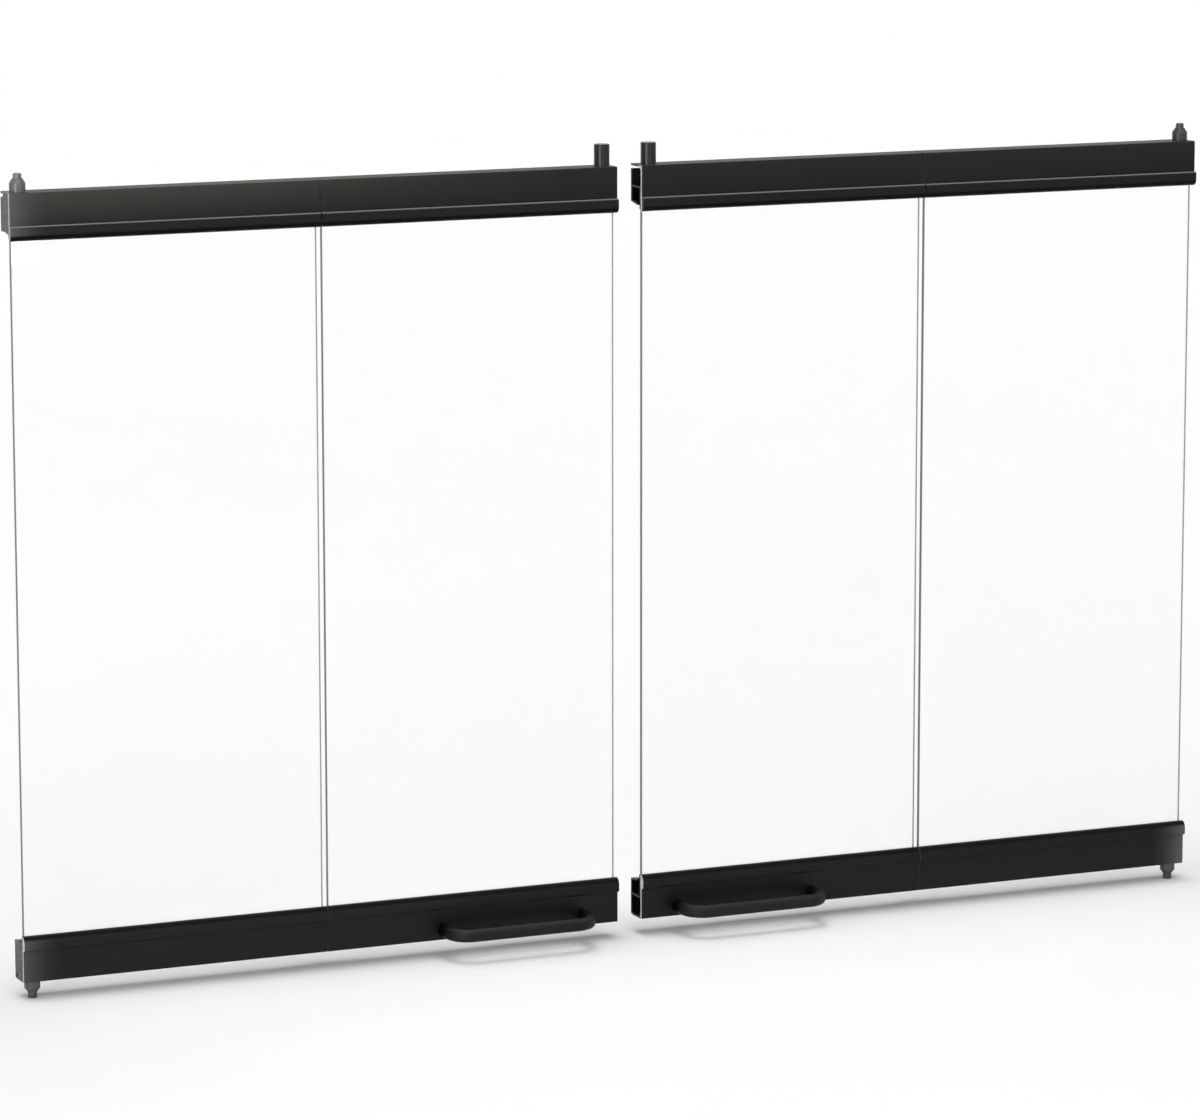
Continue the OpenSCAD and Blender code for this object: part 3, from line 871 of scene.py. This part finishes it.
@dataclass
class CoilSpring:
    """A wound wire spring under a top pin, which shortens as the pin is pressed; here it is wound at
    rest and keeps its length.

    Its first and last turns lie closed, and the turns between them are open.
    """

    side: Side
    wire_d: float = 0.9 * MM
    turns: int = 6
    closed_turns: int = 1
    rings_per_turn: int = 24
    wire_sides: int = 10
    end_gap: float = 0.05 * MM
    pressed_share: float = 0.69

    @property
    def node(self) -> str:
        """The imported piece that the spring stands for."""
        return f"{self.side.value}_top_pivot_spring"

    def rise(self, turn: float, height: float) -> float:
        """How high the wire has climbed.

        Args:
            turn: Turns from the lower end.
            height: The climb of the whole spring.

        Returns:
            The climb of the wire's middle line, in metres.
        """
        closed = self.closed_turns
        open_turns = self.turns - 2 * closed
        pitch = (height - 2 * closed * self.wire_d) / open_turns
        low = min(turn, closed) * self.wire_d
        middle = min(max(turn - closed, 0.0), open_turns) * pitch
        high = max(turn - closed - open_turns, 0.0) * self.wire_d
        return low + middle + high

    def points(self) -> list[Vector]:
        """The wire's surface points, ring after ring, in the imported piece's place.

        Returns:
            The points.
        """
        low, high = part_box(self.node)
        half_wire = self.wire_d / 2
        centre = (low + high) / 2
        radius = (high.x - low.x) / 2 - half_wire
        start = low.z + half_wire + self.end_gap
        height = high.z - half_wire - self.end_gap - start
        found = []
        for ring in range(self.turns * self.rings_per_turn + 1):
            turn = ring / self.rings_per_turn
            angle = math.tau * turn
            outward = Vector((math.cos(angle), math.sin(angle), 0.0))
            middle = Vector((centre.x, centre.y, start + self.rise(turn, height))) + radius * outward
            for step in range(self.wire_sides):
                round_wire = math.tau * step / self.wire_sides
                offset = math.cos(round_wire) * outward + Vector((0.0, 0.0, math.sin(round_wire)))
                found.append(middle + half_wire * offset)
        return found

    def faces(self) -> list[tuple[int, ...]]:
        """The wire's sides, and a cap at either end.

        Returns:
            The faces, as indices of the points.
        """
        sides, rings = self.wire_sides, self.turns * self.rings_per_turn
        found = [
            (row + step, row + (step + 1) % sides, row + sides + (step + 1) % sides, row + sides + step)
            for row in range(0, rings * sides, sides)
            for step in range(sides)
        ]
        first = tuple(reversed(range(sides)))
        last = tuple(range(rings * sides, (rings + 1) * sides))
        return [*found, first, last]

    def build(self, finish: bpy.types.Material) -> None:
        """Winds the spring, and ties it to its panel.

        Args:
            finish: The wire's finish.
        """
        mesh = bpy.data.meshes.new(f"{self.side.value}_top_pivot_coil")
        mesh.from_pydata(self.points(), [], self.faces())
        shell = bmesh.new()
        shell.from_mesh(mesh)
        bmesh.ops.recalc_face_normals(shell, faces=shell.faces)
        shell.to_mesh(mesh)
        shell.free()
        mesh.shade_smooth()
        mesh.materials.append(finish)
        coil = bpy.data.objects.new(mesh.name, mesh)
        bpy.context.scene.collection.objects.link(coil)
        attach(coil, f"{self.side.value}_outer_panel")
        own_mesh(coil)
        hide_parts(self.node)
        LOG.info("%s: %s", mesh.name, finish.name)


@dataclass
class Pivots:
    """The sprung top pivots and the fixed foot pivots at the outer ends.

    The left top sleeve and its pin are painted lighter than the others, a painted highlight, and the
    right top sleeve darker, painted shade: lit and shaded copies of the blackened finish.
    """

    # The left top sleeve and pin are painted lighter and the right top sleeve darker: painted highlight
    # and shade.
    left_top: SleeveMetal = LIT_OXIDE
    right_top: SleeveMetal = SHADED_OXIDE
    foot: SleeveMetal = BLACKENED
    lit_pin: TurnedMetal = PIN_STEEL
    pin: TurnedMetal = DARK_PIN
    wire: TurnedMetal = SPRING_WIRE

    def dress(self) -> None:
        """Finishes sleeves and pins, and winds the springs."""
        foot, pin, wire = self.foot.build(), self.pin.build(), self.wire.build()
        tops = {
            Side.LEFT: (self.left_top.build(), self.lit_pin.build()),
            Side.RIGHT: (self.right_top.build(), pin),
        }
        for side in Side:
            for edge, (sleeve, spindle) in ((Edge.TOP, tops[side]), (Edge.BOTTOM, (foot, pin))):
                dress(f"{side.value}_{edge.value}_pivot_sleeve", sleeve)
                dress(f"{side.value}_{edge.value}_pivot_pin", spindle)
            CoilSpring(side).build(wire)


@dataclass
class Guides:
    """The rollers that run in the head track, and the pins that they turn on."""

    roller: TurnedMetal = GUIDE_BLACK
    pin: TurnedMetal = PIN_STEEL

    def dress(self) -> None:
        """Finishes rollers and guide pins."""
        roller, pin = self.roller.build(), self.pin.build()
        for side in Side:
            dress(f"{side.value}_guide_roller", roller)
            dress(f"{side.value}_guide_pin", pin)


@dataclass
class Hinges:
    """The four butt hinges on the back of the rails."""

    coat: PowderCoat = HINGE_COAT
    pin: TurnedMetal = ZINC_ROUND

    def dress(self) -> None:
        """Finishes leaves and hinge pins."""
        coat, pin = self.coat.build(), self.pin.build()
        for side in Side:
            for edge in Edge:
                hinge = f"{side.value}_{edge.value}_hinge"
                for leaf in Leaf:
                    dress(f"{hinge}_{leaf.value}_leaf", coat)
                dress(f"{hinge}_pin", pin)


@dataclass
class Pulls:
    """The two bent handles on the inner bottom rails."""

    coat: PullCoat = PULL_COAT

    def dress(self) -> None:
        """Coats both handles."""
        coat = self.coat.build()
        for side in Side:
            dress(f"{side.value}_handle", coat)


@dataclass
class Fixings:
    """Every screw: the clamp screws, the hinge screws and the handle screws."""

    bright: TurnedMetal = ZINC_SCREW

    def dress(self) -> None:
        """Plates every screw."""
        bright = self.bright.build()
        for side in Side:
            dress(f"{side.value}_handle_screws", bright)
            for leaf in Leaf:
                for screws in ("set_screws", "hinge_screws"):
                    dress(f"{side.value}_{leaf.value}_{screws}", bright)


@dataclass(frozen=True)
class PaleFloor:
    """A pale studio floor that keeps the door's shadow, and turns to white away from the door."""

    name: str = "pale_studio_floor"
    paper: float = 0.68
    # The glow is weak near the door and grows away from it: painted shade round the door's line.
    glow: float = 0.26
    half_glow_at: float = 0.35
    soft_line: float = 0.1
    half_width: float = 0.457
    mottle: Triple = (3.0, 3.0, 3.0)
    mottled: float = 0.004

    def from_door(self, graph: NodeGraph) -> bpy.types.NodeSocket:
        """How far a point of the floor lies from the line that the closed door stands on.

        The distance is rounded off over the line itself, so that the glow has no crease there.

        Args:
            graph: The material's nodes.

        Returns:
            The distance's socket, in metres.
        """
        along = graph.calc("ABSOLUTE", graph.part(graph.place, Axis.X))
        beyond = graph.calc("MAXIMUM", graph.calc("SUBTRACT", along, self.half_width), 0.0)
        across = graph.part(graph.place, Axis.Y)
        squares = graph.calc("ADD", graph.squared(beyond), graph.squared(across))
        return graph.calc("SQRT", graph.calc("ADD", squares, self.soft_line**2))

    def build(self) -> bpy.types.Material:
        """Makes the material.

        Returns:
            The material.
        """
        graph = NodeGraph(self.name)
        tone = graph.spread(graph.noise(self.mottle), self.paper, self.paper + self.mottled)
        paint = graph.add("ShaderNodeBsdfDiffuse", Color=graph.blend(tone, BLACK, WHITE))
        # Weaker glow near the door: painted shade round the door's line.
        away = self.from_door(graph)
        share = graph.calc("DIVIDE", away, graph.calc("ADD", away, self.half_glow_at))
        glow = graph.add("ShaderNodeEmission", Strength=graph.calc("MULTIPLY", share, self.glow))
        both = graph.add("ShaderNodeAddShader")
        graph.feed(both.inputs[0], paint.outputs[0])
        graph.feed(both.inputs[1], glow.outputs[0])
        choice = graph.add("ShaderNodeMixShader")
        graph.feed(choice.inputs[0], seen_ray(graph.tree))
        graph.feed(choice.inputs[1], paint.outputs[0])
        graph.feed(choice.inputs[2], both.outputs[0])
        graph.feed(graph.output.inputs["Surface"], choice.outputs[0])
        return graph.material


def seen_ray(tree: bpy.types.NodeTree) -> bpy.types.NodeSocket:
    """1 for a ray from the camera, or one reflected or let through by a piece, and otherwise 0.

    Args:
        tree: The nodes to add it to.

    Returns:
        The result's socket.
    """
    ray = tree.nodes.new("ShaderNodeLightPath")
    result = ray.outputs["Is Camera Ray"]
    for kind in ("Is Glossy Ray", "Is Transmission Ray"):
        larger = tree.nodes.new("ShaderNodeMath")
        larger.operation = "MAXIMUM"
        tree.links.new(result, larger.inputs[0])
        tree.links.new(ray.outputs[kind], larger.inputs[1])
        result = larger.outputs[0]
    return result


@dataclass(frozen=True)
class SoftLight:
    """A wide soft light, far from the door."""

    name: str
    strength: float
    spread_degrees: float
    tilt_degrees: Triple
    height: float = 2.0

    def build(self) -> None:
        """Makes the lamp and turns it to the door."""
        lamp = bpy.data.lights.new(self.name, "SUN")
        lamp.energy = self.strength
        lamp.angle = math.radians(self.spread_degrees)
        light = bpy.data.objects.new(self.name, lamp)
        light.rotation_euler = tuple(math.radians(angle) for angle in self.tilt_degrees)
        light.location = (0.0, 0.0, self.height)
        bpy.context.scene.collection.objects.link(light)
        LOG.info("%s: %.2f", self.name, self.strength)


@dataclass(frozen=True)
class BoxLight:
    """A small soft box that stands near the door and draws a soft line on its pieces."""

    name: str
    power: float
    size: tuple[float, float]
    place: Triple
    aim: Triple

    def build(self) -> None:
        """Makes the lamp and turns it to the door."""
        lamp = bpy.data.lights.new(self.name, "AREA")
        lamp.shape = "RECTANGLE"
        lamp.energy = self.power
        lamp.size, lamp.size_y = self.size
        light = bpy.data.objects.new(self.name, lamp)
        towards = Vector(self.aim) - Vector(self.place)
        light.rotation_euler = towards.to_track_quat("-Z", "Y").to_euler()
        light.location = self.place
        light.visible_camera = False
        bpy.context.scene.collection.objects.link(light)
        LOG.info("%s: %.1f W", self.name, self.power)


@dataclass
class Studio:
    """Pale floor, white surround, soft light from above and from the front, and a strip box."""

    floor_span: float = 60.0
    floor_cells: int = 24
    surround: float = 0.39
    seen_surround: float = 1.0
    overhead: SoftLight = SoftLight(
        name="overhead_soft_light", strength=1.6, spread_degrees=32.0, tilt_degrees=(-1.0, -5.0, 0.0)
    )
    front: SoftLight = SoftLight(
        name="front_soft_light", strength=0.85, spread_degrees=45.0, tilt_degrees=(42.0, 0.0, -6.0)
    )
    strip: BoxLight = BoxLight(
        name="strip_light", power=34.0, size=(0.35, 1.0), place=(-2.32, -1.9, 0.52), aim=(0.0, 0.0, 0.5)
    )
    kicker: BoxLight = BoxLight(
        name="kicker_light", power=1.9, size=(0.4, 0.4), place=(0.0, -2.0, 0.47), aim=(-0.4, 0.0, 0.5)
    )
    finish: PaleFloor = field(default_factory=PaleFloor)

    def build(self) -> None:
        """Makes the floor, the world and the lamps."""
        self.lay_floor()
        self.light_world()
        self.overhead.build()
        self.front.build()
        self.strip.build()
        self.kicker.build()

    def lay_floor(self) -> None:
        """Lays the floor under the foot pivots."""
        step = self.floor_span / self.floor_cells
        start = -self.floor_span / 2
        ticks = range(self.floor_cells + 1)
        points = [(start + step * i, start + step * j, 0.0) for j in ticks for i in ticks]
        row = self.floor_cells + 1
        faces = [
            (j * row + i, j * row + i + 1, (j + 1) * row + i + 1, (j + 1) * row + i)
            for j in range(self.floor_cells)
            for i in range(self.floor_cells)
        ]
        mesh = bpy.data.meshes.new("studio_floor")
        mesh.from_pydata(points, [], faces)
        floor = bpy.data.objects.new("studio_floor", mesh)
        floor.location.z = frame_floor()
        bpy.context.scene.collection.objects.link(floor)
        mesh.materials.append(self.finish.build())
        LOG.info("studio_floor: %s", self.finish.name)

    def light_world(self) -> None:
        """Sets the surround: soft on the door, and white where it is seen."""
        world = bpy.data.worlds.new("studio_surround")
        world.use_nodes = True
        tree = world.node_tree
        background = next(n for n in tree.nodes if n.type == "BACKGROUND")
        background.inputs["Color"].default_value = (*WHITE, 1.0)
        level = tree.nodes.new("ShaderNodeMapRange")
        level.inputs["To Min"].default_value = self.surround
        level.inputs["To Max"].default_value = self.seen_surround
        tree.links.new(seen_ray(tree), level.inputs["Value"])
        tree.links.new(level.outputs[0], background.inputs["Strength"])
        bpy.context.scene.world = world
        LOG.info("studio_surround: %.2f on the door", self.surround)


@dataclass
class PhotoCamera:
    """The camera of the product photograph: a long lens from the front left, a little above."""

    lens_mm: float = 165.0
    sensor_mm: float = 36.0
    place: Triple = (-1.5769, -3.5423, 0.9415)
    yaw_degrees: float = 23.732
    pitch_degrees: float = 9.748
    roll_degrees: float = 0.053

    def axes(self) -> tuple[Vector, Vector, Vector]:
        """The camera's right, up and forward directions.

        Returns:
            Three unit vectors in the door's frame.
        """
        yaw, pitch = math.radians(self.yaw_degrees), math.radians(self.pitch_degrees)
        forward = Vector((
            math.sin(yaw) * math.cos(pitch),
            math.cos(yaw) * math.cos(pitch),
            -math.sin(pitch),
        ))
        right = Vector((math.cos(yaw), -math.sin(yaw), 0.0))
        up = right.cross(forward)
        turn = Matrix.Rotation(math.radians(self.roll_degrees), 3, forward)
        return turn @ right, turn @ up, forward

    def build(self) -> None:
        """Places the camera and makes it the scene's own."""
        lens = bpy.data.cameras.new("photo_camera")
        lens.lens = self.lens_mm
        lens.sensor_width = self.sensor_mm
        camera = bpy.data.objects.new("photo_camera", lens)
        right, up, forward = self.axes()
        turn = Matrix((right, up, -forward)).transposed()
        camera.matrix_world = Matrix.Translation(self.place) @ turn.to_4x4()
        bpy.context.scene.collection.objects.link(camera)
        bpy.context.scene.camera = camera
        LOG.info("photo_camera: %.0f mm lens", self.lens_mm)


def frame_floor() -> float:
    """The height of the floor: the tips of the foot pivots."""
    return min(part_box(f"{side.value}_bottom_pivot_pin")[0].z for side in Side)


def main() -> None:
    """Dresses the door, then sets up the studio and the camera."""
    logging.basicConfig(level=logging.INFO, format="%(message)s")
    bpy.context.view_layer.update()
    bpy.context.scene.view_settings.view_transform = "Standard"
    for assembly in (Rails(), Glazing(), Pivots(), Guides(), Hinges(), Pulls(), Fixings()):
        LOG.info("-- %s", type(assembly).__name__)
        assembly.dress()
    Studio().build()
    PhotoCamera().build()


if __name__ == "__main__":
    main()
